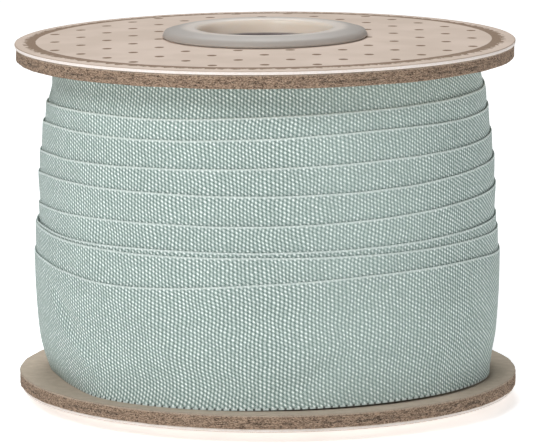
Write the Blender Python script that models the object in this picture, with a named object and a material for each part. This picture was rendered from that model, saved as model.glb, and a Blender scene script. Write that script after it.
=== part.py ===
"""A roll of woven ribbon on a card reel.

Two round boards with a printed card on each outer face are held apart by a plastic hub,
a tube whose ends are flared over the cards. The ribbon is wound on the hub between the
boards in overlapping turns that climb like a screw thread, each lower turn outside the
one above it. The roll stands on the lower rim of the hub.

Lengths are in metres and +Z is up. The origin is under the middle of the hub, on the
surface that the roll stands on, and -Y is the front.
"""

import math
from collections import namedtuple

import bmesh
import bpy

# Reel
FLANGE_RADIUS = 0.0320
BOARD_INSET = 0.0002
BOARD_THICKNESS = 0.0015
BOARD_BEVEL = 0.00025
CARD_THICKNESS = 0.0004
CARD_BEVEL = 0.0001
ROOM_BETWEEN_BOARDS = 0.0403
FIT = 0.0003

# Hub
BORE_RADIUS = 0.00845
HUB_WALL = 0.00145
RIM_RADIUS = 0.0131
RIM_HEIGHT = 0.0015
RIM_NOSE = 0.0003
RIM_SLOPE_START = 0.62 * RIM_HEIGHT
CREST_INSET = 0.0008
CREST_WIDTH = 0.0016
BORE_CHAMFER = 0.0002
BORE_EASE = 0.0007

# The reel leans a little to the left on its flat lower board, as a slope.
LEAN = 0.0088

# Ribbon
RIBBON_STEP = 0.00025
BELLY_POWER = 2.3
BELLY_ROWS = (0.64, 0.38, 0.18, 0.06)

# Facets
REEL_SEGMENTS = 72
HUB_SEGMENTS = 48
WINDING_SEGMENTS = 72
MERGE_DISTANCE = 0.00003
SLIVER = 0.00001

# Heights of the layers, from the surface up
LOWER_CARD_BASE = RIM_HEIGHT
LOWER_BOARD_BASE = LOWER_CARD_BASE + CARD_THICKNESS + FIT
LOWER_BOARD_TOP = LOWER_BOARD_BASE + BOARD_THICKNESS
UPPER_BOARD_BASE = LOWER_BOARD_TOP + ROOM_BETWEEN_BOARDS
UPPER_CARD_BASE = UPPER_BOARD_BASE + BOARD_THICKNESS + FIT
UPPER_CARD_TOP = UPPER_CARD_BASE + CARD_THICKNESS
HUB_TOP = UPPER_CARD_TOP + RIM_HEIGHT
HALF_HEIGHT = HUB_TOP / 2

HUB_RADIUS = BORE_RADIUS + HUB_WALL
HOLE_RADIUS = HUB_RADIUS + FIT

RIBBON_BASE = LOWER_BOARD_TOP + FIT
RIBBON_HEIGHT = ROOM_BETWEEN_BOARDS - 2 * FIT

# Each row is one turn of the winding. The first five columns are the height of its upper
# edge above the foot of the winding, going round from the left side by the front to the
# right side. The last is its radius where it starts, at the back.
Turn = namedtuple("Turn", "left front_left front front_right right radius")
TURNS = (
    Turn(0.0350, 0.0352, 0.0360, 0.0366, 0.0378, 0.02830),
    Turn(0.0324, 0.0326, 0.0334, 0.0341, 0.0344, 0.02870),
    Turn(0.0288, 0.0290, 0.0297, 0.0306, 0.0311, 0.02910),
    Turn(0.0260, 0.0262, 0.0264, 0.0273, 0.0279, 0.02940),
    Turn(0.0219, 0.0222, 0.0226, 0.0237, 0.0244, 0.02955),
    Turn(0.0193, 0.0190, 0.0193, 0.0200, 0.0205, 0.02965),
    Turn(0.0187, 0.0184, 0.0187, 0.0190, 0.0187, 0.02985),
    Turn(0.0155, 0.0143, 0.0156, 0.0165, 0.0159, 0.03010),
)
TOP_RADIUS = 0.0278
LAST_TURN_START = 0.0147

# Radius of the winding's lowest edge, at the same places, with the back first and last.
FOOT_STATIONS = (0.0, 0.25, 0.375, 0.5, 0.625, 0.75, 1.0)
FOOT_RADII = (0.0284, 0.0277, 0.0290, 0.0288, 0.0284, 0.0283, 0.0284)


def remove_everything():
    """Empty the scene."""
    for thing in list(bpy.data.objects):
        bpy.data.objects.remove(thing, do_unlink=True)


def make_material(name, colour, roughness):
    """A plain finish with the part's own colour and gloss."""
    material = bpy.data.materials.new(name)
    material.use_nodes = True
    shader = material.node_tree.nodes["Principled BSDF"]
    shader.inputs["Base Color"].default_value = (*colour, 1.0)
    shader.inputs["Roughness"].default_value = roughness
    shader.inputs["Metallic"].default_value = 0.0
    return material


def finish_object(name, bm, material, sharp_angle):
    """Make the scene object of a finished shape."""
    bmesh.ops.recalc_face_normals(bm, faces=bm.faces)
    mesh = bpy.data.meshes.new(name)
    bm.to_mesh(mesh)
    bm.free()
    mesh.shade_smooth()
    mesh.set_sharp_from_angle(angle=math.radians(sharp_angle))
    mesh.materials.append(material)
    thing = bpy.data.objects.new(name, mesh)
    bpy.context.scene.collection.objects.link(thing)
    return thing


def lean_reel(bm):
    """Lean a turned piece to the left, and tilt what lies above half height with it."""
    for vert in bm.verts:
        x, y, z = vert.co
        tilt = LEAN * x if z > HALF_HEIGHT else 0.0
        vert.co = (x - LEAN * (z - HALF_HEIGHT), y, z + tilt)


def turned(name, outline, segments, material):
    """A ring turned about the Z axis from a closed outline of radius and height."""
    bm = bmesh.new()
    verts = [bm.verts.new((radius, 0.0, height)) for radius, height in outline]
    edges = [bm.edges.new((a, b)) for a, b in zip(verts, verts[1:] + verts[:1])]
    bmesh.ops.spin(
        bm,
        geom=verts + edges,
        cent=(0.0, 0.0, 0.0),
        axis=(0.0, 0.0, 1.0),
        angle=math.tau,
        steps=segments,
        use_merge=True,
    )
    lean_reel(bm)
    return finish_object(name, bm, material, 40)


def plate_outline(outer, base, thickness, bevel):
    """Outline of a flat ring round the hub, its outer edges eased."""
    top = base + thickness
    return (
        (HOLE_RADIUS, base),
        (outer - bevel, base),
        (outer, base + bevel),
        (outer, top - bevel),
        (outer - bevel, top),
        (HOLE_RADIUS, top),
    )


def make_boards_and_cards():
    """The grey board and the printed card of both flanges."""
    board = make_material("grey_board", (0.30, 0.22, 0.16), 0.9)
    card = make_material("printed_card", (0.64, 0.53, 0.45), 0.75)
    board_radius = FLANGE_RADIUS - BOARD_INSET
    for name, base in (("lower_board", LOWER_BOARD_BASE), ("upper_board", UPPER_BOARD_BASE)):
        outline = plate_outline(board_radius, base, BOARD_THICKNESS, BOARD_BEVEL)
        turned(name, outline, REEL_SEGMENTS, board)
    for name, base in (("lower_card", LOWER_CARD_BASE), ("upper_card", UPPER_CARD_BASE)):
        outline = plate_outline(FLANGE_RADIUS, base, CARD_THICKNESS, CARD_BEVEL)
        turned(name, outline, REEL_SEGMENTS, card)


def rim_section():
    """Half section of a flared rim, from its underside out and over to the bore.

    Each point is a radius and a height above the card. The crest is a flat band, which
    on the lower rim is the foot that the roll stands on.
    """
    crest_inner = BORE_RADIUS + CREST_INSET
    return (
        (HUB_RADIUS, FIT),
        (RIM_RADIUS - RIM_NOSE * 3, FIT),
        (RIM_RADIUS - RIM_NOSE / 3, FIT + RIM_NOSE / 3),
        (RIM_RADIUS, FIT + RIM_NOSE),
        (RIM_RADIUS - RIM_NOSE * 4 / 3, RIM_SLOPE_START),
        (crest_inner + CREST_WIDTH, RIM_HEIGHT),
        (crest_inner, RIM_HEIGHT),
        (BORE_RADIUS + BORE_CHAMFER, RIM_HEIGHT - BORE_CHAMFER),
        (BORE_RADIUS, RIM_HEIGHT - BORE_EASE),
    )


def make_hub():
    """The plastic tube with a flared rim at each end."""
    plastic = make_material("hub_plastic", (0.62, 0.57, 0.52), 0.35)
    section = rim_section()
    lower = [(radius, LOWER_CARD_BASE - height) for radius, height in section]
    upper = [(radius, UPPER_CARD_TOP + height) for radius, height in section]
    turned("hub", lower[::-1] + upper, HUB_SEGMENTS, plastic)


def smooth_between(stations, values, place):
    """Value at a place on a smooth curve through the values at the stations."""
    index = 0
    while index < len(stations) - 2 and place > stations[index + 1]:
        index += 1

    def slope(i):
        low = max(i - 1, 0)
        high = min(i + 1, len(stations) - 1)
        return (values[high] - values[low]) / (stations[high] - stations[low])

    span = stations[index + 1] - stations[index]
    t = (place - stations[index]) / span
    start_weight = 2 * t**3 - 3 * t**2 + 1
    end_weight = 1 - start_weight
    bend = slope(index) * (t**3 - 2 * t**2 + t) + slope(index + 1) * (t**3 - t**2)
    return values[index] * start_weight + values[index + 1] * end_weight + bend * span


def turn_start(index):
    """Height of a turn's upper edge at the back, where it starts."""
    if index == len(TURNS) - 1:
        return LAST_TURN_START
    return (TURNS[index].left + TURNS[index + 1].right) / 2


def edge_height(index, sweep):
    """Height of a turn's upper edge at a sweep of 0 to 1 round the roll from the back."""
    turn = TURNS[index]
    end = RIBBON_HEIGHT if index == 0 else turn_start(index - 1)
    heights = (turn_start(index), *turn[:5], end)
    return min(smooth_between(FOOT_STATIONS, heights, sweep), RIBBON_HEIGHT)


def edge_radius(index, sweep):
    """Outer radius of a turn at its upper edge, closing in as the turn climbs."""
    end = TOP_RADIUS if index == 0 else TURNS[index - 1].radius
    return TURNS[index].radius + (end - TURNS[index].radius) * sweep


def winding_section(sweep):
    """Radius and height of the winding's section at a sweep round the roll.

    It runs from the hub out over the top, down the steps of the turns, over the belly of
    the last turn and in along the bottom to the hub.
    """
    section = [(HOLE_RADIUS, RIBBON_HEIGHT), (TOP_RADIUS, RIBBON_HEIGHT)]
    for index in range(len(TURNS)):
        height = edge_height(index, sweep)
        radius = edge_radius(index, sweep)
        room = (RIBBON_HEIGHT - height) / RIBBON_STEP
        section.append((radius - RIBBON_STEP * min(room, 1.0), height))
        section.append((radius, height))
    foot = smooth_between(FOOT_STATIONS, FOOT_RADII, sweep)
    edge = edge_height(len(TURNS) - 1, sweep)
    belly = edge_radius(len(TURNS) - 1, sweep)
    for number, part in enumerate(BELLY_ROWS):
        height = part * LAST_TURN_START
        if number == 0:
            height += (LAST_TURN_START - height) * sweep
        fullness = 1 - (1 - height / edge) ** BELLY_POWER
        section.append((foot + (belly - foot) * fullness, height))
    section.append((foot, 0.0))
    section.append((HOLE_RADIUS, 0.0))
    return section


def make_ribbon():
    """The wound ribbon, one solid with the steps of its outer turns.

    A flat grid is wrapped round the hub. Each turn ends at the back where the one above
    it starts, so the two edges of the grid meet there one step apart, and the cut end of
    the last turn closes what stays open below it.
    """
    sections = [winding_section(i / WINDING_SEGMENTS) for i in range(WINDING_SEGMENTS + 1)]
    rows = len(sections[0])
    bm = bmesh.new()
    bmesh.ops.create_grid(bm, x_segments=WINDING_SEGMENTS, y_segments=rows, size=1.0)
    for vert in bm.verts:
        column = round((vert.co.x + 1) / 2 * WINDING_SEGMENTS)
        row = round((vert.co.y + 1) / 2 * rows) % rows
        radius, height = sections[column][row]
        angle = math.pi / 2 + math.tau * column / WINDING_SEGMENTS
        x = radius * math.cos(angle)
        y = radius * math.sin(angle)
        z = RIBBON_BASE + height
        tilt = LEAN * x * height / RIBBON_HEIGHT
        vert.co = (x - LEAN * (z - HALF_HEIGHT), y, z + tilt)
    bmesh.ops.remove_doubles(bm, verts=bm.verts, dist=MERGE_DISTANCE)
    bmesh.ops.dissolve_degenerate(bm, edges=bm.edges, dist=SLIVER)
    open_edges = [edge for edge in bm.edges if edge.is_boundary]
    bmesh.ops.holes_fill(bm, edges=open_edges, sides=0)
    cloth = make_material("woven_ribbon", (0.36, 0.50, 0.46), 0.7)
    return finish_object("ribbon", bm, cloth, 50)


def main():
    remove_everything()
    make_boards_and_cards()
    make_hub()
    make_ribbon()


main()
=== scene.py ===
"""The looks of a roll of woven ribbon on a card reel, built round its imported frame.

The ribbon is one long strip, wound in nine overlapping turns that climb from the outermost
end at the back to the underside of the upper board. Two grey boards, two printed cards and
a milky plastic hub make the reel, which leans a little to the left on its lower board.

Tables and small sizes are in millimetres, and everything is built in metres: +Z is up, and
-Y is the front. Angles are counted round the reel from +X, so 180 is the left side, 270
the front and 360 the right side.
"""

import math
from collections import namedtuple

import bmesh
import bpy
from mathutils import Euler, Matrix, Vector, noise


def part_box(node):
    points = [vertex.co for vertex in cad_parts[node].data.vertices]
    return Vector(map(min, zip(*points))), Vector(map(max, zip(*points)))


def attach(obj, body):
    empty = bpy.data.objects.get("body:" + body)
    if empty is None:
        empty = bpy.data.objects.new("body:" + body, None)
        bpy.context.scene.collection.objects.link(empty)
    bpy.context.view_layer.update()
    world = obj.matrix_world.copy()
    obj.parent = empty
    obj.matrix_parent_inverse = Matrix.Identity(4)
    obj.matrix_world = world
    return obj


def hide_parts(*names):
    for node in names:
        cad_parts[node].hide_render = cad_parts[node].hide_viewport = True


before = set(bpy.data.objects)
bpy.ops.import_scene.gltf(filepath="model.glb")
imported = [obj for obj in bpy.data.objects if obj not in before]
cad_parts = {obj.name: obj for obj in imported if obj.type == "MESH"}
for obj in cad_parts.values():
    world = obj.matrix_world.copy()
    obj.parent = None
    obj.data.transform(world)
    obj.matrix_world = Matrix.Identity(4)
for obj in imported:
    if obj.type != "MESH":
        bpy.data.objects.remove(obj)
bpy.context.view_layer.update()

bl_info = {
    "name": "Roll of ribbon",
    "version": (1, 0, 0),
    "blender": (4, 5, 0),
    "location": "3D View > Sidebar > Ribbon roll",
    "description": "A woven ribbon wound on a card reel, with its stage",
    "category": "Add Mesh",
}

MM = 0.001

# Half the thickness of the frame's boards
HALF_BOARD = 0.75 * MM

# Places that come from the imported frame
REEL_RADIUS = (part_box("lower_card")[1].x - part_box("lower_card")[0].x) / 2
LOWER_CARD_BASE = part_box("lower_card")[0].z
LOWER_BOARD_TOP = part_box("lower_board")[1].z
UPPER_BOARD_BASE = (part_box("upper_board")[0].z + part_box("upper_board")[1].z) / 2 - HALF_BOARD
HUB_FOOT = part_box("hub")[0].z
HALF_HEIGHT = 23.85 * MM

# Radii of the holes through the inner turns, the boards and the cards
CORE_HOLE = 10.2 * MM
BOARD_HOLE = 10.0 * MM
CARD_HOLE = 9.0 * MM

# Eased edges of the boards and cards
BOARD_BEVEL = 0.18 * MM
CARD_BEVEL = 0.1 * MM

# The lean of the whole reel, as a slope
LEAN = 0.0088

# Facets
BOARD_STEPS = 720
CARD_STEPS = 192
HUB_STEPS = 144
OUTER_TURN_STEPS = 360
TURN_STEPS = 200
CORE_STEPS = 96
BORE_STEPS = 14

# Points closer than this are one point
MERGE_DISTANCE = 0.001 * MM

WHITE = (1.0, 1.0, 1.0, 1.0)


def smooth_between(stations, values, place):
    """Value at a place on a smooth curve through the values at the stations."""
    index = 0
    while index < len(stations) - 2 and place > stations[index + 1]:
        index += 1

    def slope(i):
        low = max(i - 1, 0)
        high = min(i + 1, len(stations) - 1)
        return (values[high] - values[low]) / (stations[high] - stations[low])

    span = stations[index + 1] - stations[index]
    t = (place - stations[index]) / span
    start_weight = 2 * t**3 - 3 * t**2 + 1
    end_weight = 1 - start_weight
    bend = slope(index) * (t**3 - 2 * t**2 + t) + slope(index + 1) * (t**3 - t**2)
    return values[index] * start_weight + values[index + 1] * end_weight + bend * span


def read_table(rows, station, column, place):
    """Value of a table's column at a place along its column of stations."""
    stations = [getattr(row, station) for row in rows]
    values = [getattr(row, column) for row in rows]
    return smooth_between(stations, values, place)


def ease(t):
    """Smooth step from 0 to 1."""
    t = min(max(t, 0.0), 1.0)
    return t * t * (3 - 2 * t)


def bell(distance, width):
    """A smooth bump, 1 at no distance and fading over the width."""
    return math.exp(-((distance / width) ** 2) / 2)


class Value:
    """A socket of a shader tree that Python's own arithmetic works on."""

    def __init__(self, finish, socket):
        self.finish = finish
        self.socket = socket

    def maths(self, operation, *values):
        sockets = dict(enumerate(values))
        return self.finish.node("ShaderNodeMath", {"operation": operation}, sockets)

    def __add__(self, other):
        return self.maths("ADD", self, other)

    def __radd__(self, other):
        return self.maths("ADD", other, self)

    def __sub__(self, other):
        return self.maths("SUBTRACT", self, other)

    def __rsub__(self, other):
        return self.maths("SUBTRACT", other, self)

    def __mul__(self, other):
        return self.maths("MULTIPLY", self, other)

    def __truediv__(self, other):
        return self.maths("DIVIDE", self, other)

    def __pow__(self, other):
        return self.maths("POWER", self, other)

    def __mod__(self, other):
        return self.maths("FLOORED_MODULO", self, other)

    def __abs__(self):
        return self.maths("ABSOLUTE", self)

    def floor(self):
        return self.maths("FLOOR", self)

    def round(self):
        return self.maths("ROUND", self)

    def sin(self):
        return self.maths("SINE", self)

    def least(self, other):
        return self.maths("MINIMUM", self, other)

    def most(self, other):
        return self.maths("MAXIMUM", self, other)

    def length_with(self, other):
        """Length of the right-angled pair of this value and another."""
        return (self * self + other * other) ** 0.5

    def step(self, start, end):
        """0 below the start and 1 above the end, smooth between, or falling if end is lower."""
        low, high = min(start, end), max(start, end)
        settings = {"interpolation_type": "SMOOTHSTEP"}
        sockets = {0: self, 1: low, 2: high, 3: 0.0, 4: 1.0}
        if end < start:
            sockets[3], sockets[4] = 1.0, 0.0
        return self.finish.node("ShaderNodeMapRange", settings, sockets)


class Finish:
    """A material and the nodes that make its look, ending in a Principled shader."""

    def __init__(self, name, **constants):
        self.material = bpy.data.materials.new(name)
        self.material.use_nodes = True
        self.tree = self.material.node_tree
        self.shader = self.tree.nodes["Principled BSDF"]
        for socket, value in constants.items():
            self.shader.inputs[socket.replace("_", " ")].default_value = value

    def node(self, kind, settings, sockets, output=0):
        """Add a node: its settings first, then the values or links of its sockets."""
        made = self.tree.nodes.new(kind)
        for name, value in settings.items():
            setattr(made, name, value)
        for name, value in sockets.items():
            if isinstance(value, Value):
                self.tree.links.new(value.socket, made.inputs[name])
            else:
                made.inputs[name].default_value = value
        return Value(self, made.outputs[output])

    def place(self):
        """The point on the surface, in millimetres."""
        point = self.node("ShaderNodeTexCoord", {}, {}, "Object")
        settings = {"operation": "SCALE"}
        return self.node("ShaderNodeVectorMath", settings, {0: point, "Scale": 1 / MM})

    def parts(self, vector):
        """The X, Y and Z of a vector."""
        split = self.node("ShaderNodeSeparateXYZ", {}, {0: vector}).socket.node
        return [Value(self, socket) for socket in split.outputs]

    def upright(self):
        """A surface point's place, its X, Y and Z, and its X and radius on the upright reel."""
        place = self.place()
        x, y, z = self.parts(place)
        upright_x = x + (z - HALF_HEIGHT / MM) * LEAN
        return place, (x, y, z), upright_x, upright_x.length_with(y)

    def vector(self, x, y, z=0.0):
        return self.node("ShaderNodeCombineXYZ", {}, {0: x, 1: y, 2: z})

    def noise(self, vector, scale, detail=2.0, roughness=0.5):
        """Cloudy noise of 0 to 1, its scale in features to the millimetre."""
        sockets = {"Vector": vector, "Scale": scale, "Detail": detail, "Roughness": roughness}
        return self.node("ShaderNodeTexNoise", {}, sockets)

    def random(self, vector):
        """One random number for each whole-numbered vector."""
        settings = {"noise_dimensions": "2D"}
        return self.node("ShaderNodeTexWhiteNoise", settings, {"Vector": vector})

    def mix(self, factor, first, second, blend="MIX"):
        """A colour between two colours."""
        settings = {"data_type": "RGBA", "blend_type": blend, "clamp_factor": True}
        return self.node("ShaderNodeMix", settings, {0: factor, 6: first, 7: second}, 2)

    def bump(self, height, distance, strength=1.0):
        """A normal from a height of 0 to 1 that stands for the distance in millimetres."""
        sockets = {"Height": height, "Distance": distance * MM, "Strength": strength}
        return self.node("ShaderNodeBump", {}, sockets)

    def drive(self, socket, value):
        """Link a value to a socket of the shader."""
        self.tree.links.new(value.socket, self.shader.inputs[socket])


def colour(red, green, blue):
    """A scene colour from red, green and blue of 0 to 255 as seen on a screen."""

    def linear(channel):
        channel /= 255
        if channel <= 0.04045:
            return channel / 12.92
        return ((channel + 0.055) / 1.055) ** 2.4

    return (linear(red), linear(green), linear(blue), 1.0)


def finish_object(name, bm, material, sharp_angle, node):
    """Make the scene object of a finished shape, in place of its node of the frame."""
    bmesh.ops.recalc_face_normals(bm, faces=bm.faces)
    mesh = bpy.data.meshes.new(name)
    bm.to_mesh(mesh)
    bm.free()
    mesh.shade_smooth()
    mesh.set_sharp_from_angle(angle=math.radians(sharp_angle))
    mesh.materials.append(material)
    piece = bpy.data.objects.new(name, mesh)
    bpy.context.scene.collection.objects.link(piece)
    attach(piece, "root")
    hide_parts(node)


def turn_outline(outline, steps):
    """A closed outline of radius and height, in metres, turned once about the Z axis."""
    bm = bmesh.new()
    verts = [bm.verts.new((radius, 0.0, height)) for radius, height in outline]
    edges = [bm.edges.new((a, b)) for a, b in zip(verts, verts[1:] + verts[:1])]
    bmesh.ops.spin(
        bm,
        geom=verts + edges,
        cent=(0.0, 0.0, 0.0),
        axis=(0.0, 0.0, 1.0),
        angle=math.tau,
        steps=steps,
        use_merge=True,
    )
    return bm


def leaned(point, tilt):
    """A point of the upright reel moved to where it lies on the leaning one.

    The tilt is 0 for what follows the lower board and 1 for what follows the upper one.
    """
    x, y, z = point
    return (x - LEAN * (z - HALF_HEIGHT), y, z + tilt * LEAN * x)


def lean(bm):
    """Lean a turned piece, tilting what lies above half height with the upper board."""
    for vert in bm.verts:
        vert.co = leaned(vert.co, 1.0 if vert.co.z > HALF_HEIGHT else 0.0)


def level_over(base, x, z):
    """Height of a shader's point over a base in metres that tilts with its board."""
    level = z - base / MM
    return level - x * LEAN if base > HALF_HEIGHT else level


def dome(radius, rise):
    """How far the upper board and card bulge up at a radius."""
    return rise * (1 - (radius / REEL_RADIUS) ** 2)


# Ribbon

# The height above the lower board of each turn's upper edge, in millimetres, round the
# visible half of the roll. The rows run from the outermost and lowest turn to the top.
Edge = namedtuple("Edge", "at_180 at_195 at_210 at_225 at_240 at_270 at_300 at_330 at_360")
EDGES = (
    Edge(15.9, 15.85, 15.35, 14.8, 14.95, 15.95, 16.6, 16.55, 15.85),
    Edge(19.5, 19.55, 19.25, 19.1, 19.05, 19.2, 19.05, 19.0, 18.7),
    Edge(19.8, 19.9, 19.6, 19.6, 19.75, 19.8, 19.95, 20.3, 20.45),
    Edge(21.9, 22.5, 22.6, 22.8, 22.95, 23.05, 23.45, 24.05, 24.35),
    Edge(26.0, 26.6, 26.75, 26.7, 26.8, 26.75, 27.0, 27.6, 27.9),
    Edge(28.8, 29.35, 29.45, 29.6, 29.8, 30.15, 30.55, 30.75, 31.05),
    Edge(32.5, 33.05, 33.15, 33.15, 33.25, 33.75, 34.25, 34.15, 34.3),
    Edge(35.0, 35.55, 35.7, 35.8, 35.85, 36.4, 36.75, 36.9, 37.05),
)
EDGE_DEGREES = (180, 195, 210, 225, 240, 270, 300, 330, 360)

# Where the ribbon's outer end lies, and how high its upper edge is there
START_DEGREES = 90
OUTER_END_HEIGHT = 15.3

# The last share of the outermost turn, where its lower edge leaves the board
END_SHARE = 0.22

# Room between the boards, and how far the last turn's edge reaches into the upper board
ROOM = 40.3
TOP_OVERLAP = 0.1

# Outer radius of the innermost of the nine turns at a height above the lower board, and of
# the core that stands for the turns inside them, in millimetres
Belly = namedtuple("Belly", "height radius core")
BELLY = (
    Belly(0.0, 26.5, 27.1),
    Belly(2.8, 27.07, 27.5),
    Belly(5.0, 27.5, 27.9),
    Belly(10.0, 27.9, 28.1),
    Belly(15.0, 28.05, 27.8),
    Belly(20.4, 28.1, 27.4),
    Belly(25.0, 28.35, 27.25),
    Belly(28.0, 28.4, 27.3),
    Belly(31.0, 28.3, 27.2),
    Belly(34.0, 28.15, 27.05),
    Belly(36.0, 28.1, 27.0),
    Belly(38.0, 27.75, 26.65),
    Belly(40.3, 27.5, 26.4),
)

# Where the outermost turn meets the lower board: its radius and how far it stands off,
# in millimetres, from the back round to the back again
Foot = namedtuple("Foot", "degrees radius lift")
FEET = (
    Foot(90, 28.4, 0.0),
    Foot(180, 28.2, 0.0),
    Foot(195, 27.7, 0.0),
    Foot(210, 28.3, 0.0),
    Foot(225, 29.8, 0.0),
    Foot(255, 29.9, 0.02),
    Foot(277, 29.6, 0.18),
    Foot(300, 29.4, 0.27),
    Foot(330, 29.5, 0.25),
    Foot(345, 29.2, 0.16),
    Foot(360, 28.5, 0.1),
    Foot(450, 28.4, 0.0),
)

# Height at which the foot no longer shapes the turns, in millimetres
FOOT_REACH = 4.0

# Short stretches where an upper edge stands away from the turn behind it, or, with a reach
# below zero, where a turn lies further in: its place and width in turns, and its reach and
# height in millimetres
Flare = namedtuple("Flare", "turns reach height width")
FLARES = (
    Flare(8.26, -0.35, 7.0, 0.04),
    Flare(8.49, -0.3, 3.0, 0.03),
    Flare(8.66, -0.4, 7.0, 0.03),
    Flare(7.25, -0.12, 5.0, 0.03),
    Flare(2.25, 0.15, 1.2, 0.03),
)

# Soft creases: the middle of each, the slope that it climbs at going right, how far it
# stands out or in, and its width and half length, in millimetres
Crease = namedtuple("Crease", "degrees height slope reach width length")
CREASES = (
    Crease(185, 36.6, 0.0, -0.45, 0.7, 3.0),
    Crease(185, 40.3, 0.0, -0.35, 0.7, 3.0),
    Crease(214, 8.5, -1.0, -0.45, 0.9, 4.5),
    Crease(218, 5.5, -0.9, 0.33, 0.9, 4.5),
    Crease(228, 7.0, -0.8, -0.22, 0.8, 3.5),
    Crease(276, 5.5, 0.5, 0.22, 0.8, 3.5),
    Crease(284, 5.0, 0.6, -0.3, 0.8, 4.0),
    Crease(300, 8.5, 0.4, 0.15, 0.9, 4.0),
)

# Unevenness of the turns' radius and edges, in millimetres, and its waves in a turn and, up
# the cloth, in a millimetre
UNEVEN_RADIUS = 0.04
RADIUS_WAVES = 22
RADIUS_WAVES_UP = 0.12
RADIUS_SEED = 1.3
UNEVEN_EDGE = 0.05
EDGE_WAVES = 40
EDGE_SEED = 3.7

# How far to the right of the hub's axis the ribbon lies, in millimetres
OFF_CENTRE = 0.1

# Half the width and height of a raised float, in columns and in rows of its column
FLOAT_WIDTH = 0.33
FLOAT_HEIGHT = 0.34


def edge_curve():
    """The places, in turns from the outer end, and heights that the upper edge goes through."""
    turns = [0.0]
    heights = [OUTER_END_HEIGHT]
    for number, row in enumerate(EDGES):
        for degrees, height in zip(EDGE_DEGREES, row):
            turns.append(number + (degrees - START_DEGREES) / 360)
            heights.append(height)
        above = EDGES[number + 1].at_180 if number + 1 < len(EDGES) else ROOM
        turns.append(number + 1.0)
        heights.append((row.at_360 + above) / 2 if number + 1 < len(EDGES) else ROOM)
    turns.append(len(EDGES) + 1.0)
    heights.append(ROOM)
    return turns, heights


class Winding:
    """The wound strip's shape: where a point of the flat ribbon lies on the roll."""

    def __init__(self, settings):
        self.width = settings.width / MM
        self.thickness = settings.thickness / MM
        self.step = settings.step / MM
        self.turns = len(EDGES) + 1
        self.edge_turns, self.edge_heights = edge_curve()

    def upper_edge(self, turns):
        height = smooth_between(self.edge_turns, self.edge_heights, turns)
        height += UNEVEN_EDGE * noise.noise(Vector((turns * EDGE_WAVES, EDGE_SEED, 0.0)))
        return min(height, ROOM + TOP_OVERLAP)

    def lower_edge(self, turns, upper):
        """The outermost turn reaches the board all round, and the others their full width."""
        free = max(upper - self.width, 0.0)
        if turns >= 1:
            return free
        lift = read_table(FEET, "degrees", "lift", START_DEGREES + 360 * turns)
        return lift + (free - lift) * ease(1 + (turns - 1) / END_SHARE)

    def radius(self, turns, height, depth):
        """Radius of the middle of the cloth."""
        level = min(max(height, 0.0), ROOM)
        belly = read_table(BELLY, "height", "radius", level)
        layers = (self.turns - 1 - turns) * self.step
        degrees = START_DEGREES + 360 * (turns % 1)
        foot = read_table(FEET, "degrees", "radius", degrees)
        last_foot = BELLY[0].radius + (self.turns - 1) * self.step
        near_board = max(1 - level / FOOT_REACH, 0.0) ** 2
        radius = belly + layers + (foot - last_foot) * near_board
        for flare in FLARES:
            share = bell(turns - flare.turns, flare.width)
            radius += flare.reach * share * math.exp(-depth / flare.height)
        radius += self.crease(degrees, height)
        place = Vector((turns * RADIUS_WAVES, height * RADIUS_WAVES_UP, RADIUS_SEED))
        radius += UNEVEN_RADIUS * noise.noise(place)
        return radius - self.thickness / 2

    def crease(self, degrees, height):
        """How far the creases push the cloth out at a place."""
        push = 0.0
        for row in CREASES:
            right = math.radians(degrees - row.degrees) * BELLY[0].radius
            up = height - row.height
            size = math.hypot(1.0, row.slope)
            onward = (right + up * row.slope) / size
            aside = (up - right * row.slope) / size
            push += row.reach * bell(aside, row.width) * bell(onward, row.length)
        return push

    def point(self, turns, depth, side):
        """Place of a point at a depth below the upper edge, on one side of the cloth."""
        upper = self.upper_edge(turns)
        lower = self.lower_edge(turns, upper)
        height = upper + (lower - upper) * depth / self.width
        radius = self.radius(turns, height, depth) + side * self.thickness / 2
        angle = math.radians(START_DEGREES + 360 * turns)
        upright = (
            (radius * math.cos(angle) + OFF_CENTRE) * MM,
            radius * MM * math.sin(angle),
            LOWER_BOARD_TOP + height * MM,
        )
        return leaned(upright, height / ROOM)


def strip_section(width):
    """Depth and side of the points round the strip's cross-section, from its upper edge."""
    full = 0.12
    edge = ((0.0, 0.0), (0.03, 0.75), (full, 1.0), (0.3, 1.0), (0.6, 1.0))
    outside = [(depth, 1.0) for depth in (1.0, 1.5, 2.1, 2.8, 3.5, 4.2, 5.0, 6.0, 7.0, 8.0)]
    outside += [(depth, 1.0) for depth in (9.0, 10.0, 11.0, 12.0, 13.0, 14.0, 15.0)]
    lower = [(width - depth, side) for depth, side in edge[::-1]]
    inside = [(depth, -1.0) for depth in (width - full, 13.0, 9.0, 5.0, 2.0, full)]
    return [*edge, *outside, *lower, *inside]


def add_core(bm):
    """The inner turns that fill the roll from the hub out, hidden by the last nine."""
    clearance = 0.1
    outline = [(CORE_HOLE, LOWER_BOARD_TOP + clearance * MM)]
    for row in BELLY:
        height = min(max(row.height, clearance), ROOM - clearance)
        outline.append((row.core * MM, LOWER_BOARD_TOP + height * MM))
    outline.append((CORE_HOLE, LOWER_BOARD_TOP + (ROOM - clearance) * MM))
    core = turn_outline(outline, CORE_STEPS)
    for vert in core.verts:
        vert.co = leaned(vert.co, (vert.co.z - LOWER_BOARD_TOP) / (ROOM * MM))
    bmesh.ops.recalc_face_normals(core, faces=core.faces)
    mesh = bpy.data.meshes.new("inner_turns")
    core.to_mesh(mesh)
    core.free()
    bm.from_mesh(mesh)
    bpy.data.meshes.remove(mesh)


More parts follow.
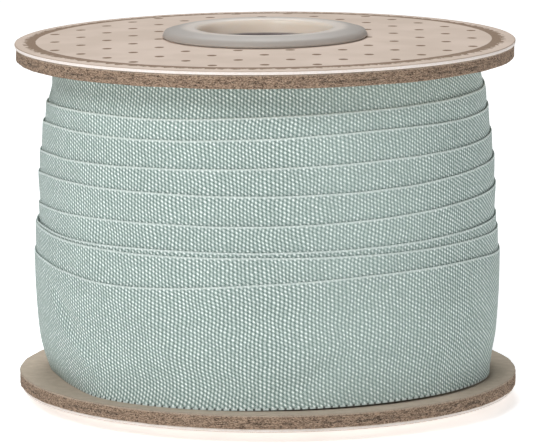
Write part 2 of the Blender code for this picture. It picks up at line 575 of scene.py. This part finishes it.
def make_ribbon(settings):
    """The wound strip, wrapped round from a flat grid that gives it its weave's UV map."""
    winding = Winding(settings)
    section = strip_section(winding.width)
    rows = len(section)
    columns = [number / OUTER_TURN_STEPS for number in range(OUTER_TURN_STEPS)]
    inner_steps = (winding.turns - 1) * TURN_STEPS
    columns += [1 + number / TURN_STEPS for number in range(inner_steps + 1)]
    turn_length = math.tau * settings.radius / MM

    bm = bmesh.new()
    uv_map = bm.loops.layers.uv.new("weave")
    bmesh.ops.create_grid(bm, x_segments=len(columns) - 1, y_segments=rows, size=1.0)
    places = {}
    for vert in bm.verts:
        column = round((vert.co.x + 1) / 2 * (len(columns) - 1))
        row = round((vert.co.y + 1) / 2 * rows) % rows
        places[vert] = (columns[column], *section[row])
    for face in bm.faces:
        for loop in face.loops:
            turns, depth, _ = places[loop.vert]
            loop[uv_map].uv = (turns * turn_length, depth)
    for vert, place in places.items():
        vert.co = winding.point(*place)
    bmesh.ops.remove_doubles(bm, verts=bm.verts, dist=MERGE_DISTANCE)
    open_edges = [edge for edge in bm.edges if edge.is_boundary]
    bmesh.ops.holes_fill(bm, edges=open_edges, sides=0)
    bmesh.ops.recalc_face_normals(bm, faces=bm.faces)
    add_core(bm)
    material = ribbon_finish(settings)
    finish_object("wound_ribbon", bm, material, 50, "ribbon")


def ribbon_finish(settings):
    """Plain weave: rounded floats in staggered columns with a painted highlight, painted shade
    between them, and a smooth selvedge at each edge.
    """
    finish = Finish("woven_ribbon", Roughness=0.7, Specular_IOR_Level=0.3)
    uv = finish.node("ShaderNodeUVMap", {"uv_map": "weave"}, {})
    along, depth, _ = finish.parts(uv)
    cloud = finish.noise(finish.vector(along * 0.1, depth * 0.25), 1.0)
    sway = finish.noise(finish.vector(along, depth), 0.16, 1.0)
    jitter = finish.noise(finish.vector(along, depth * 1.4), 1.1, 1.0)

    even = along / (settings.column_pitch / MM)
    across = even + (sway - 0.5) * 2.4 + (jitter - 0.5) * 0.5
    down = depth / (settings.row_pitch / MM) + (jitter - 0.5) * 0.5
    column = across.floor()
    in_column = across - column - 0.5
    phase = down * 0.5 + (column % 2.0) * 0.5
    row = phase.round()
    in_row = phase - row
    chance = finish.random(finish.vector(column, row))

    slant = in_column - in_row * settings.slant
    wide = slant / FLOAT_WIDTH
    tall = in_row / FLOAT_HEIGHT
    float_shape = wide * wide + tall * tall

    # Painted light: the painted highlight and shade of the weave, and its relief and gloss, are
    # weaker at the front right, away from the key light
    x, y, _ = finish.parts(finish.place())
    painted_light_fade = 1 - x.step(0.0, 10.0) * x.step(26.0, 17.0) * y.step(0.0, -5.0) * 0.3
    high = float_shape.step(1.0, 0.15) * painted_light_fade
    low = abs(slant).step(0.22, 0.48) * (0.5 + abs(in_row).step(0.1, 0.4) * 0.5) * painted_light_fade
    lit = high * (0.5 + chance * 0.8)

    # Painted shade in the gaps between the floats, then a painted highlight on the raised floats
    base = finish.mix(low, settings.middle, settings.dark)
    cloth = finish.mix(lit, base, settings.light)

    width = settings.width / MM
    from_edge = depth.least(width - depth)
    ragged = (even * math.tau).sin() * 0.03
    selvedge = (from_edge + ragged).step(0.3, 0.2)
    strand_noise = finish.noise(finish.vector(along, depth), 3.0)
    strand = finish.mix(strand_noise, settings.light, settings.middle)
    cloth = finish.mix(selvedge * 0.65, cloth, strand)
    # Painted shadow: dark notches under the scalloped loops of the lower selvedge
    scallop = (even * math.pi).sin()
    notch_shadow = scallop.step(0.35, 0.75) * (width - depth).step(0.34, 0.2)
    cloth = finish.mix(notch_shadow * 0.9, cloth, settings.deep_shade)
    shade = 0.93 + cloud * 0.14
    tint = finish.vector(shade, shade, shade)
    cloth = finish.mix(1.0, cloth, tint, "MULTIPLY")
    finish.drive("Base Color", cloth)
    finish.drive("Roughness", 0.75 - lit * 0.25)
    height = high * (1 - selvedge) + selvedge * 0.8 - low * 0.4
    finish.drive("Normal", finish.bump(height, 0.07, settings.relief))
    return finish.material


# Reel


def plate_outline(inner, outer, base, thickness, bevel, rise):
    """Outline of a ring with eased outer edges, domed if it has a rise."""
    top = base + thickness
    shares = (0.0, 0.3, 0.6, 0.85, 0.93, 1.0)
    inward = [inner + (outer - bevel - inner) * share for share in shares]
    lower = [(radius, base + dome(radius, rise)) for radius in inward]
    upper = [(radius, top + dome(radius, rise)) for radius in inward[::-1]]
    corner = []
    for number in range(1, 4):
        turn = math.pi / 2 * number / 4
        corner.append((bevel * (1 - math.sin(turn)), bevel * (1 - math.cos(turn))))
    lower_round = [(outer - in_by, base + up_by) for up_by, in_by in corner[::-1]]
    side = (outer, base + bevel), (outer, base + thickness * 0.5), (outer, top - bevel)
    upper_round = [(outer - in_by, top - up_by) for up_by, in_by in corner]
    return [*lower, *lower_round, *side, *upper_round, *upper]


def make_board(name, settings, base, rise, inset, seed):
    """A grey board, its cut edge slightly uneven, with small bites where fibres came out."""
    outer = REEL_RADIUS - inset
    thickness = settings.board_thickness
    outline = plate_outline(BOARD_HOLE, outer, base, thickness, BOARD_BEVEL, rise)
    bm = turn_outline(outline, BOARD_STEPS)
    uneven = settings.board_uneven
    fibre = 0.8 * MM
    wave = 4.0 * MM
    rim_start = outer - 1.2 * MM
    rim_width = 1.0 * MM
    for vert in bm.verts:
        flat = Vector((vert.co.x, vert.co.y, 0.0))
        rim = ease((flat.length - rim_start) / rim_width)
        place = Vector(vert.co) / fibre + Vector((seed, 0.0, 0.0))
        coarse = Vector((vert.co.x, vert.co.y, seed * MM)) / wave
        bite = max(noise.noise(place * 1.7) - 0.25, 0.0)
        push = (noise.noise(place) + noise.noise(coarse) - bite * 2.5) * uneven
        vert.co += flat.normalized() * push * rim
        vert.co.z += noise.noise(coarse + Vector((7.0, 0.0, 0.0))) * uneven * 0.8 * rim
    lean(bm)
    material = board_finish(name, settings, base, outer)
    finish_object(name + "_cut", bm, material, 50, name)


def board_finish(name, settings, base, outer):
    """Pressed fibre board: smooth grey faces and a brown, speckled cut edge."""
    finish = Finish(name + "_fibre", Roughness=0.9, Specular_IOR_Level=0.3)
    place, (x, y, z), _, radius = finish.upright()
    edge = radius.step(outer / MM - 0.22, outer / MM - 0.1)

    # The fibres are pressed flat, so their noise is finer from top to bottom
    squashed = finish.node(
        "ShaderNodeVectorMath",
        {"operation": "MULTIPLY"},
        {0: place, 1: (1.0, 1.0, 2.2)},
    )
    fine = finish.noise(squashed, 3.6, 4.0, 0.75)
    coarse = finish.noise(squashed, 1.3, 2.0)
    streak = finish.noise(finish.vector(x * 1.2, y * 1.2, z * 7.0), 1.0, 3.0)
    pits = fine.step(0.42, 0.30)
    patches = coarse.step(0.5, 0.34)
    flecks = finish.noise(squashed, 6.2, 2.0, 0.6).step(0.58, 0.70)
    height = level_over(base + settings.board_thickness / 2, x, z)
    seam_noise = finish.noise(finish.vector(x, y, 0.0), 0.35, 2.0)
    seam = abs(height + (coarse - 0.5) * 0.5 + 0.15).step(0.22, 0.05)
    seam = seam * seam_noise.step(0.48, 0.6)
    rim_line = (height + (fine - 0.5) * 0.2).step(0.6, 0.78)

    fibre = finish.mix(fine.step(0.38, 0.62), settings.board_dark, settings.board_light)
    fibre = finish.mix(streak.step(0.48, 0.66) * 0.5, fibre, settings.board_light)
    fibre = finish.mix(streak.step(0.44, 0.32) * 0.6, fibre, settings.board_pit)
    fibre = finish.mix(patches * 0.3, fibre, settings.board_dark)
    fibre = finish.mix(pits, fibre, settings.board_pit)
    fibre = finish.mix(seam * 0.55, fibre, settings.board_pit)
    fibre = finish.mix(flecks * 0.65, fibre, settings.board_fleck)
    fibre = finish.mix(rim_line * 0.55, fibre, settings.face_light)
    mottle = finish.noise(place, 0.8, 3.0)
    grain = finish.noise(place, 5.0, 2.0)
    face = finish.mix(mottle.step(0.1, 0.9), settings.face_dark, settings.face_light)
    face = finish.mix(grain.step(0.45, 0.25) * 0.4, face, settings.board_light)
    finish.drive("Base Color", finish.mix(edge, face, fibre))
    relief = fine - pits * 0.6 + flecks * 0.3
    height_map = relief * (0.15 + edge * 0.85)
    finish.drive("Normal", finish.bump(height_map, 0.12, 0.8))
    return finish.material


def make_card(name, settings, base, rise, inset, faces_up):
    """A printed card, its white core showing at the cut edge."""
    outer = REEL_RADIUS - inset
    thickness = settings.card_thickness
    outline = plate_outline(CARD_HOLE, outer, base, thickness, CARD_BEVEL, rise)
    bm = turn_outline(outline, CARD_STEPS)
    lean(bm)
    material = card_finish(name, settings, base, outer, faces_up)
    finish_object(name + "_print", bm, material, 50, name)


def card_finish(name, settings, base, card_radius, faces_up):
    """Cream card with small brown dots and a jagged ring near its edge."""
    finish = Finish(name + "_paper", Roughness=0.62, Specular_IOR_Level=0.4)
    place, (x, y, z), upright_x, radius = finish.upright()

    # Dots in columns, every second one half a row further on
    column_pitch = settings.dot_column / MM
    row_pitch = settings.dot_row / MM
    turned_x = upright_x + y * settings.print_turn
    turned_y = y - upright_x * settings.print_turn
    fanned_x = turned_x / (1.0 + y * settings.print_fan)
    column = (fanned_x - settings.dot_offset_x / MM) / column_pitch
    whole = column.round()
    in_column = (column - whole) * column_pitch
    row = (turned_y - settings.dot_offset_y / MM) / row_pitch + (whole % 2.0) * 0.5
    in_row = (row - row.round()) * row_pitch
    ink_noise = finish.noise(place, 4.0, 2.0)
    dot_edge = in_column.length_with(in_row) + (ink_noise - 0.5) * 0.25
    dots = dot_edge.step(settings.dot_radius / MM + 0.06, settings.dot_radius / MM - 0.06)

    # The ring is printed a little to the left and a little wider from side to side
    ring_inner = settings.ring_inner / MM
    ring_x = (upright_x + settings.ring_left / MM) * settings.ring_stretch
    ring_radius = ring_x.length_with(y)
    dots = dots * ring_radius.step(ring_inner - 0.2, ring_inner - 0.3)
    angle = y.maths("ARCTAN2", y, upright_x)
    wobble = finish.noise(place, 0.9, 2.0)
    teeth = angle * (settings.tooth_count / math.tau) + (wobble - 0.5) * 2.0
    saw = abs(teeth - teeth.round()) * 2.0
    tooth = saw * (settings.tooth_height / MM)
    outer = settings.ring_outer / MM + tooth + (ink_noise - 0.5) * 0.4
    inner = ring_inner + (wobble - 0.5) * 0.2
    ring = (ring_radius - inner).step(-0.05, 0.05) * (outer - ring_radius).step(-0.06, 0.06)
    ink = dots.most(ring * 0.9) * (0.82 + ink_noise * 0.3)

    cloud = finish.noise(place, 0.12, 2.0)
    paper = finish.mix(cloud.step(0.35, 0.65), settings.paper_dark, settings.paper_light)
    grain = finish.noise(place, 3.5, 2.0)
    paper = finish.mix(grain.step(0.2, 0.8) * 0.15, paper, settings.paper_dark)
    printed = finish.mix(ink, paper, settings.ink)

    # The white core and the thin printed skin at the cut edge
    level = level_over(base, x, z)
    thickness = settings.card_thickness / MM
    outward = (radius - (card_radius / MM - 0.12)).step(-0.02, 0.04)
    if faces_up:
        below_print = level.step(thickness - 0.05, thickness - 0.09)
    else:
        below_print = level.step(0.05, 0.09)
    core = outward * below_print
    core_tone = finish.mix(grain.step(0.3, 0.7) * 0.35, settings.card_core, settings.paper_light)
    skin = outward * (1 - below_print)
    printed = finish.mix(skin * 0.5, printed, settings.ink)
    finish.drive("Base Color", finish.mix(core, printed, core_tone))
    finish.drive("Roughness", 0.6 + grain * 0.15)
    finish.drive("Normal", finish.bump(grain, 0.02, 0.3))
    return finish.material


def rim_section(settings, sign, base):
    """Half section of a flared rim from the tube out over the card and back to the bore.

    The sign is 1 for the upper rim and -1 for the lower one.
    """
    bore = settings.bore_radius
    rim = settings.rim_radius
    top = settings.rim_height
    crest = (bore + 0.8 * MM, bore + 2.4 * MM)
    points = [
        (rim - 0.7 * MM, 0.0),
        (rim - 0.25 * MM, 0.03 * MM),
        (rim - 0.05 * MM, 0.14 * MM),
        (rim, 0.30 * MM),
        (rim - 0.08 * MM, 0.50 * MM),
        (rim - 0.32 * MM, 0.666 * top),
        (rim - 0.85 * MM, 0.78 * top),
        (rim - 1.5 * MM, 0.90 * top),
        (crest[1], top),
        (crest[0], top),
        (bore + 0.32 * MM, top - 0.09 * MM),
        (bore + 0.1 * MM, top - 0.3 * MM),
        (bore, top - 0.7 * MM),
    ]
    return [(radius, base + sign * height) for radius, height in points]


def make_hub(settings, reel):
    """The plastic tube, flared over both cards."""
    upper_card_top = UPPER_BOARD_BASE + reel.board_thickness + reel.card_thickness
    seat = upper_card_top + dome(settings.rim_radius, reel.dome_rise)
    wall = settings.bore_radius + settings.wall
    upper = rim_section(settings, 1, seat)
    lower_height = LOWER_CARD_BASE - HUB_FOOT
    lower = [
        (radius, LOWER_CARD_BASE - (LOWER_CARD_BASE - height) * lower_height / settings.rim_height)
        for radius, height in rim_section(settings, -1, LOWER_CARD_BASE)
    ]
    tube = [(wall, LOWER_CARD_BASE), (wall, seat)]
    top_bore = upper[-1][1]
    low_bore = lower[-1][1]
    bore = [
        (settings.bore_radius, top_bore + (low_bore - top_bore) * number / BORE_STEPS)
        for number in range(1, BORE_STEPS)
    ]
    outline = [*tube, *upper, *bore, *lower[::-1]]
    bm = turn_outline(outline, HUB_STEPS)
    lean(bm)
    material = hub_finish(settings, seat + settings.rim_height)
    finish_object("moulded_hub", bm, material, 60, "hub")


def hub_finish(settings, crest):
    """Milky plastic, pale on its crest, with painted shade greying its flank and darkening the
    bore further down, and painted light at the top of the bore.
    """
    finish = Finish(
        "hub_milky",
        Roughness=0.5,
        Specular_IOR_Level=0.3,
        Subsurface_Weight=0.5,
        Subsurface_Radius=(2.0, 1.7, 1.5),
        Subsurface_Scale=MM,
    )
    place, (x, y, z), _, radius = finish.upright()
    bore = settings.bore_radius / MM
    below = crest / MM - (z - x * LEAN)
    cloud = finish.noise(place, 0.5, 2.0)
    worn = (cloud - 0.5) * 0.5
    from_bore = radius + worn - bore
    # Painted shade: the flank's tone is greyer than the crest's
    flank = from_bore.step(settings.flank_start / MM, settings.flank_end / MM)
    milk = finish.mix(flank, settings.milk_light, settings.flank_shade)
    inside = radius.step(bore + 0.5, bore + 0.05)
    # Painted shade darkens the bore below its top, where the card's beige is brightened as painted
    # light through the plastic
    deep_shade = (below + worn * 0.3).step(settings.shade_start / MM, settings.shade_end / MM)
    bore_light_and_shade = finish.mix(deep_shade, settings.bore_lit_tone, settings.bore_shade)
    finish.drive("Base Color", finish.mix(inside, milk, bore_light_and_shade))
    scratches = finish.noise(finish.vector(x * 0.5, y * 0.5, z * 3.0), 1.5, 3.0)
    finish.drive("Roughness", 0.42 + scratches * 0.16 - inside * 0.2)
    finish.drive("Normal", finish.bump(scratches, 0.02, 0.3))
    return finish.material


# Stage

# The lamps: the setting that holds their power, where they stand round the roll and how
# high, in degrees, and their distance and size, in metres
Lamp = namedtuple("Lamp", "name power degrees elevation distance size")
LAMPS = (
    Lamp("key", "key_power", 236, 40, 0.6, 0.35),
    Lamp("back", "back_power", 92, 52, 0.6, 0.3),
    Lamp("side", "side_power", 350, 20, 0.6, 0.3),
    Lamp("front", "front_power", 252, 7, 0.8, 0.2),
)
FLOOR_COLOUR = (0.87, 0.89, 0.9, 1.0)


def aim_lamp(name, power, place, size):
    """A round soft lamp at a place, aimed at the middle of the roll."""
    light = bpy.data.lights.new(name, "AREA")
    light.energy = power
    light.shape = "DISK"
    light.size = size
    lamp = bpy.data.objects.new(name, light)
    bpy.context.scene.collection.objects.link(lamp)
    lamp.location = place
    aim = Vector((0.0, 0.0, HALF_HEIGHT)) - Vector(place)
    lamp.rotation_euler = aim.to_track_quat("-Z", "Y").to_euler()


def around(degrees, elevation, distance):
    """A place round the roll, with 270 degrees at the front."""
    turn = math.radians(degrees)
    rise = math.radians(elevation)
    flat = distance * math.cos(rise)
    return (flat * math.cos(turn), flat * math.sin(turn), HALF_HEIGHT + distance * math.sin(rise))


def make_floor(settings):
    """A plain pale floor."""
    bm = bmesh.new()
    bmesh.ops.create_grid(bm, x_segments=1, y_segments=1, size=settings.floor_size / 2)
    mesh = bpy.data.meshes.new("floor")
    bm.to_mesh(mesh)
    bm.free()
    finish = Finish(
        "floor_pale",
        Roughness=0.9,
        Base_Color=FLOOR_COLOUR,
        Emission_Color=WHITE,
        Emission_Strength=settings.floor_glow,
    )
    mesh.materials.append(finish.material)
    floor = bpy.data.objects.new("floor", mesh)
    bpy.context.scene.collection.objects.link(floor)


def make_lights(settings):
    """Soft studio light from the left, the right, behind and low in front.

    The white surround is bright only to the camera, so that it gives little flat light.
    """
    world = bpy.data.worlds.new("studio")
    world.use_nodes = True
    tree = world.node_tree
    background = tree.nodes["Background"]
    background.inputs["Color"].default_value = WHITE
    path = tree.nodes.new("ShaderNodeLightPath")
    strength = tree.nodes.new("ShaderNodeMapRange")
    strength.inputs["To Min"].default_value = settings.surround
    strength.inputs["To Max"].default_value = 1.0
    tree.links.new(path.outputs["Is Camera Ray"], strength.inputs["Value"])
    tree.links.new(strength.outputs["Result"], background.inputs["Strength"])
    bpy.context.scene.world = world
    for lamp in LAMPS:
        place = around(lamp.degrees, lamp.elevation, lamp.distance)
        aim_lamp(lamp.name, getattr(settings, lamp.power), place, lamp.size)


def make_camera(settings):
    """The camera at the viewpoint of the photograph."""
    camera = bpy.data.cameras.new("camera")
    camera.sensor_fit = "HORIZONTAL"
    camera.sensor_width = 36.0
    camera.lens = settings.lens
    camera.clip_start = 0.01
    holder = bpy.data.objects.new("camera", camera)
    bpy.context.scene.collection.objects.link(holder)
    holder.location = (settings.camera_x, -settings.camera_distance, settings.camera_height)
    holder.rotation_euler = Euler((math.pi / 2 - settings.camera_pitch, 0.0, settings.camera_yaw))
    bpy.context.scene.camera = holder


# Settings


def length(name, default, description):
    """A length property in metres."""
    return bpy.props.FloatProperty(
        name=name, description=description, default=default, precision=5, unit="LENGTH"
    )


def amount(name, default, description):
    """A plain number property."""
    return bpy.props.FloatProperty(name=name, description=description, default=default)


def tone(name, red, green, blue, description):
    """A colour property, given as seen on a screen."""
    return bpy.props.FloatVectorProperty(
        name=name,
        description=description,
        default=colour(red, green, blue),
        size=4,
        subtype="COLOR",
        min=0.0,
        max=1.0,
    )


class RibbonSettings(bpy.types.PropertyGroup):
    """Sizes and colours of the ribbon."""

    width: length("Width", 16.0 * MM, "Width of the ribbon")
    thickness: length("Thickness", 0.22 * MM, "Thickness of the cloth")
    step: length("Step", 0.25 * MM, "How far each turn lies outside the last")
    radius: length("Radius", 29.3 * MM, "Radius at which the weave keeps its pitch")
    column_pitch: length("Column pitch", 0.484 * MM, "Width of a column of floats")
    row_pitch: length("Row pitch", 0.257 * MM, "Half the height between floats in a column")
    slant: amount("Slant", 0.35, "How much each float leans in its column")
    relief: amount("Relief", 1.0, "Strength of the weave's relief")
    # Painted highlight of the raised floats, also the pale of the selvedge strands
    light: tone("Light", 245, 252, 249, "Colour of the raised floats")
    middle: tone("Middle", 165, 181, 176, "Colour between the floats")
    # Painted shade in the gaps between the floats
    dark: tone("Dark", 84, 108, 101, "Colour of the gaps in the weave")
    # Painted shadow under the scalloped lower selvedge
    deep_shade: tone("Deep", 46, 54, 46, "Colour of the notches in the selvedge")


class ReelSettings(bpy.types.PropertyGroup):
    """Sizes and colours of the boards and cards."""

    board_thickness: length("Board thickness", 1.76 * MM, "Thickness of a grey board")
    board_inset: length("Board inset", 0.2 * MM, "How far the upper board lies inside its card")
    card_inset: length("Card inset", 0.3 * MM, "How far the lower card lies inside its board")
    board_uneven: length("Unevenness", 0.08 * MM, "Unevenness of the cut edge")
    card_thickness: length("Card thickness", 0.45 * MM, "Thickness of a printed card")
    dome_rise: length("Dome", 0.5 * MM, "Rise of the upper board at its middle")
    board_dark: tone("Fibre dark", 78, 59, 46, "Darker fibre of the cut edge")
    board_light: tone("Fibre light", 174, 149, 127, "Lighter fibre of the cut edge")
    board_pit: tone("Pit", 28, 20, 16, "Pits of the cut edge")
    board_fleck: tone("Fleck", 222, 200, 178, "Pale flecks of the cut edge")
    face_dark: tone("Face dark", 182, 168, 151, "Darker clouds of the flat face")
    face_light: tone("Face light", 200, 186, 169, "Lighter clouds of the flat face")
    paper_dark: tone("Paper dark", 210, 191, 175, "Darker tone of the card")
    paper_light: tone("Paper light", 220, 201, 186, "Lighter tone of the card")
    card_core: tone("Core", 232, 224, 219, "White core of the card")
    ink: tone("Ink", 122, 93, 62, "Brown of the print")
    dot_radius: length("Dot radius", 0.62 * MM, "Radius of a dot")
    dot_column: length("Dot column", 3.332 * MM, "Distance between columns of dots")
    dot_row: length("Dot row", 8.42 * MM, "Distance between dots in a column")
    dot_offset_x: length("Dot offset X", -0.21 * MM, "A column's distance from the middle")
    dot_offset_y: length("Dot offset Y", -1.38 * MM, "A dot's distance from the middle")
    print_turn: amount("Print turn", 0.0078, "How the print is turned, as a slope")
    print_fan: amount("Print fan", 0.00134, "How the columns spread from front to back")
    ring_inner: length("Ring inner", 28.7 * MM, "Inner radius of the printed ring")
    ring_outer: length("Ring outer", 29.75 * MM, "Radius of the ring between its teeth")
    ring_left: length("Ring left", 0.15 * MM, "How far to the left the ring is printed")
    ring_stretch: amount("Ring stretch", 0.985, "Depth of the printed ring over its width")
    tooth_count: amount("Teeth", 110.0, "Teeth round the printed ring")
    tooth_height: length("Tooth height", 0.75 * MM, "How far the teeth stand out")


class HubSettings(bpy.types.PropertyGroup):
    """Sizes and colours of the hub."""

    bore_radius: length("Bore radius", 8.45 * MM, "Radius of the bore")
    wall: length("Wall", 1.45 * MM, "Thickness of the tube")
    rim_radius: length("Rim radius", 13.1 * MM, "Radius of the flared rims")
    rim_height: length("Rim height", 1.3 * MM, "Height of the upper rim over the card")
    flank_start: length("Flank start", 1.3 * MM, "Distance from the bore where the flank starts")
    flank_end: length("Flank end", 2.7 * MM, "Distance from the bore where its tone is full")
    # Where the painted shade down the bore starts and where it is full
    shade_start: length("Deep start", 1.65 * MM, "Depth where the bore starts to darken")
    shade_end: length("Deep end", 1.95 * MM, "Depth where the bore is darkest")
    milk_light: tone("Milk light", 211, 202, 193, "Tone of the crest")
    # Painted shade of the flank
    flank_shade: tone("Milk dark", 174, 168, 162, "Tone of the flank")
    # Painted light at the top of the bore, brightened as if lit through the plastic, and painted
    # shade further down
    bore_lit_tone: tone("Bore", 242, 227, 212, "Tone at the top of the bore")
    bore_shade: tone("Bore dark", 132, 123, 124, "Tone further down the bore")


class StageSettings(bpy.types.PropertyGroup):
    """Camera, lights and floor."""

    lens: amount("Lens", 318.76, "Focal length in millimetres, for a sensor 36 mm wide")
    camera_x: length("Camera X", 0.30 * MM, "Place of the camera from side to side")
    camera_distance: length("Distance", 599.39 * MM, "Distance in front of the roll")
    camera_height: length("Height", 118.49 * MM, "Height of the camera")
    camera_pitch: bpy.props.FloatProperty(
        name="Pitch",
        description="How far the camera looks down",
        default=0.15858,
        subtype="ANGLE",
        unit="ROTATION",
    )
    camera_yaw: bpy.props.FloatProperty(
        name="Yaw",
        description="How far the camera looks to the left",
        default=0.0005,
        subtype="ANGLE",
        unit="ROTATION",
    )
    floor_size: length("Floor size", 6.0, "Side of the floor")
    floor_glow: amount("Floor glow", 0.55, "Light that the floor gives off")
    surround: amount("Surround", 0.05, "Light that the white surround gives off")
    key_power: amount("Key power", 2.2, "Power of the light at the front left in watts")
    back_power: amount("Back power", 1.8, "Power of the light behind in watts")
    side_power: amount("Side power", 0.75, "Power of the light on the right in watts")
    front_power: amount("Front power", 0.9, "Power of the low light in front in watts")


# Operators


class RIBBONROLL_OT_ribbon(bpy.types.Operator):
    """Wind the woven ribbon on the reel"""

    bl_idname = "ribbon_roll.add_ribbon"
    bl_label = "Add ribbon"

    def execute(self, context):
        make_ribbon(context.scene.ribbon_settings)
        return {"FINISHED"}


class RIBBONROLL_OT_boards(bpy.types.Operator):
    """Add the two grey boards"""

    bl_idname = "ribbon_roll.add_boards"
    bl_label = "Add boards"

    def execute(self, context):
        reel = context.scene.reel_settings
        lower_base = LOWER_CARD_BASE + reel.card_thickness
        upper_base = UPPER_BOARD_BASE
        make_board("lower_board", reel, lower_base, 0.0, 0.0, 3.0)
        make_board("upper_board", reel, upper_base, reel.dome_rise, reel.board_inset, 11.0)
        return {"FINISHED"}


class RIBBONROLL_OT_cards(bpy.types.Operator):
    """Add the two printed cards"""

    bl_idname = "ribbon_roll.add_cards"
    bl_label = "Add cards"

    def execute(self, context):
        reel = context.scene.reel_settings
        make_card("lower_card", reel, LOWER_CARD_BASE, 0.0, reel.card_inset, False)
        upper_base = UPPER_BOARD_BASE + reel.board_thickness
        make_card("upper_card", reel, upper_base, reel.dome_rise, 0.0, True)
        return {"FINISHED"}


class RIBBONROLL_OT_hub(bpy.types.Operator):
    """Add the plastic hub"""

    bl_idname = "ribbon_roll.add_hub"
    bl_label = "Add hub"

    def execute(self, context):
        make_hub(context.scene.hub_settings, context.scene.reel_settings)
        return {"FINISHED"}


class RIBBONROLL_OT_stage(bpy.types.Operator):
    """Add the floor, the lights and the camera"""

    bl_idname = "ribbon_roll.add_stage"
    bl_label = "Add stage"

    def execute(self, context):
        settings = context.scene.stage_settings
        context.scene.view_settings.view_transform = "Standard"
        make_floor(settings)
        make_lights(settings)
        make_camera(settings)
        return {"FINISHED"}


OPERATORS = (
    RIBBONROLL_OT_ribbon,
    RIBBONROLL_OT_boards,
    RIBBONROLL_OT_cards,
    RIBBONROLL_OT_hub,
    RIBBONROLL_OT_stage,
)


class RIBBONROLL_PT_panel(bpy.types.Panel):
    """Lists the pieces of the roll"""

    bl_idname = "RIBBONROLL_PT_panel"
    bl_label = "Ribbon roll"
    bl_space_type = "VIEW_3D"
    bl_region_type = "UI"
    bl_category = "Ribbon roll"

    def draw(self, context):
        for operator in OPERATORS:
            self.layout.operator(operator.bl_idname)


SETTINGS = {
    "ribbon_settings": RibbonSettings,
    "reel_settings": ReelSettings,
    "hub_settings": HubSettings,
    "stage_settings": StageSettings,
}


def register():
    """Register the settings, the operators and the panel."""
    for name, group in SETTINGS.items():
        bpy.utils.register_class(group)
        setattr(bpy.types.Scene, name, bpy.props.PointerProperty(type=group))
    for item in (*OPERATORS, RIBBONROLL_PT_panel):
        bpy.utils.register_class(item)


def unregister():
    """Take everything out again."""
    for item in (RIBBONROLL_PT_panel, *OPERATORS[::-1]):
        bpy.utils.unregister_class(item)
    for name, group in SETTINGS.items():
        delattr(bpy.types.Scene, name)
        bpy.utils.unregister_class(group)


def main():
    """Build every piece."""
    register()
    bpy.ops.ribbon_roll.add_ribbon()
    bpy.ops.ribbon_roll.add_boards()
    bpy.ops.ribbon_roll.add_cards()
    bpy.ops.ribbon_roll.add_hub()
    bpy.ops.ribbon_roll.add_stage()


if __name__ == "__main__":
    main()
